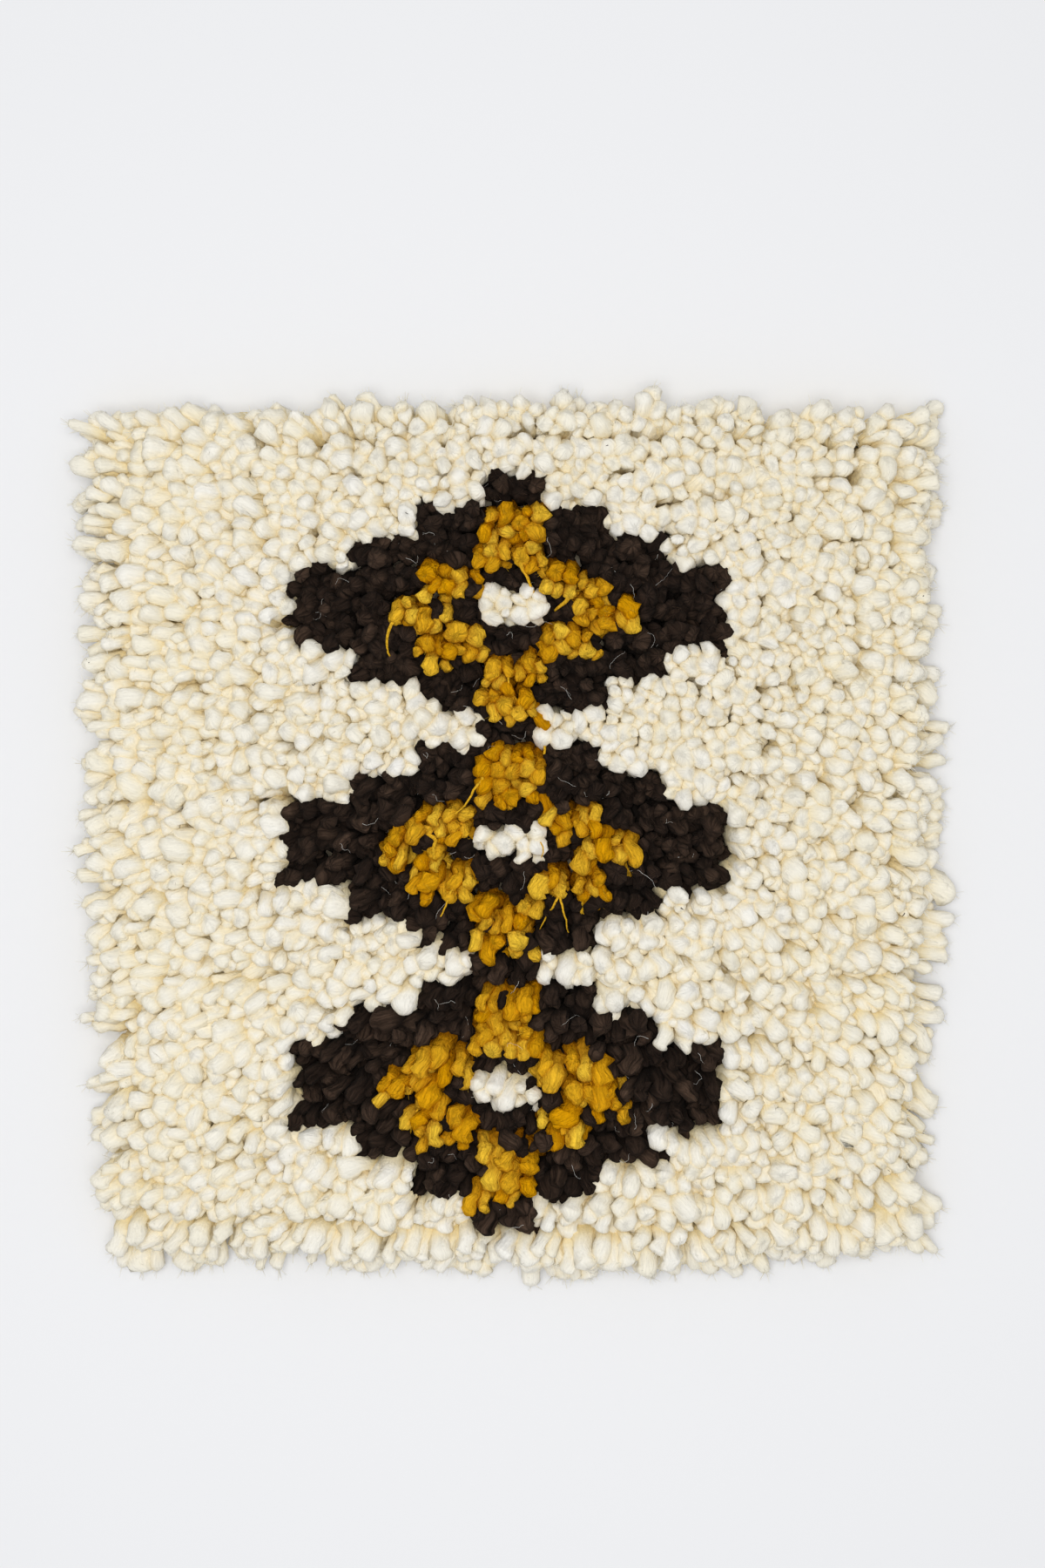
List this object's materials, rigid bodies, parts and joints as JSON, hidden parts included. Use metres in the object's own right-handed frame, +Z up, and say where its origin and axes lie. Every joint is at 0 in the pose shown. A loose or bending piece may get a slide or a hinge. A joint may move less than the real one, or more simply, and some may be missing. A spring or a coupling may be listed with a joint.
{
  "type": "shag rug",
  "caption": "Small square shag rug of thick cut wool pile, cream with a chain of stepped lozenges in dark brown and mustard, lying flat.",
  "frame": {"origin": "centre of the rug on the floor plane, under its ground cloth", "axes": "+Z up from the floor, +Y towards the head end (the picture's top edge), +X towards the picture's right edge"},
  "size_m": [0.5218, 0.5276, 0.0352],
  "materials": {
    "cream_wool": "felted cut wool pile, matte",
    "brown_wool": "felted cut wool pile, matte, dark undyed",
    "mustard_wool": "dyed cut wool pile, matte",
    "ground_weave": "plain woven wool ground cloth"
  },
  "bodies": {
    "root": {"shag_pile": "cream_wool"}
  },
  "joints": []
}
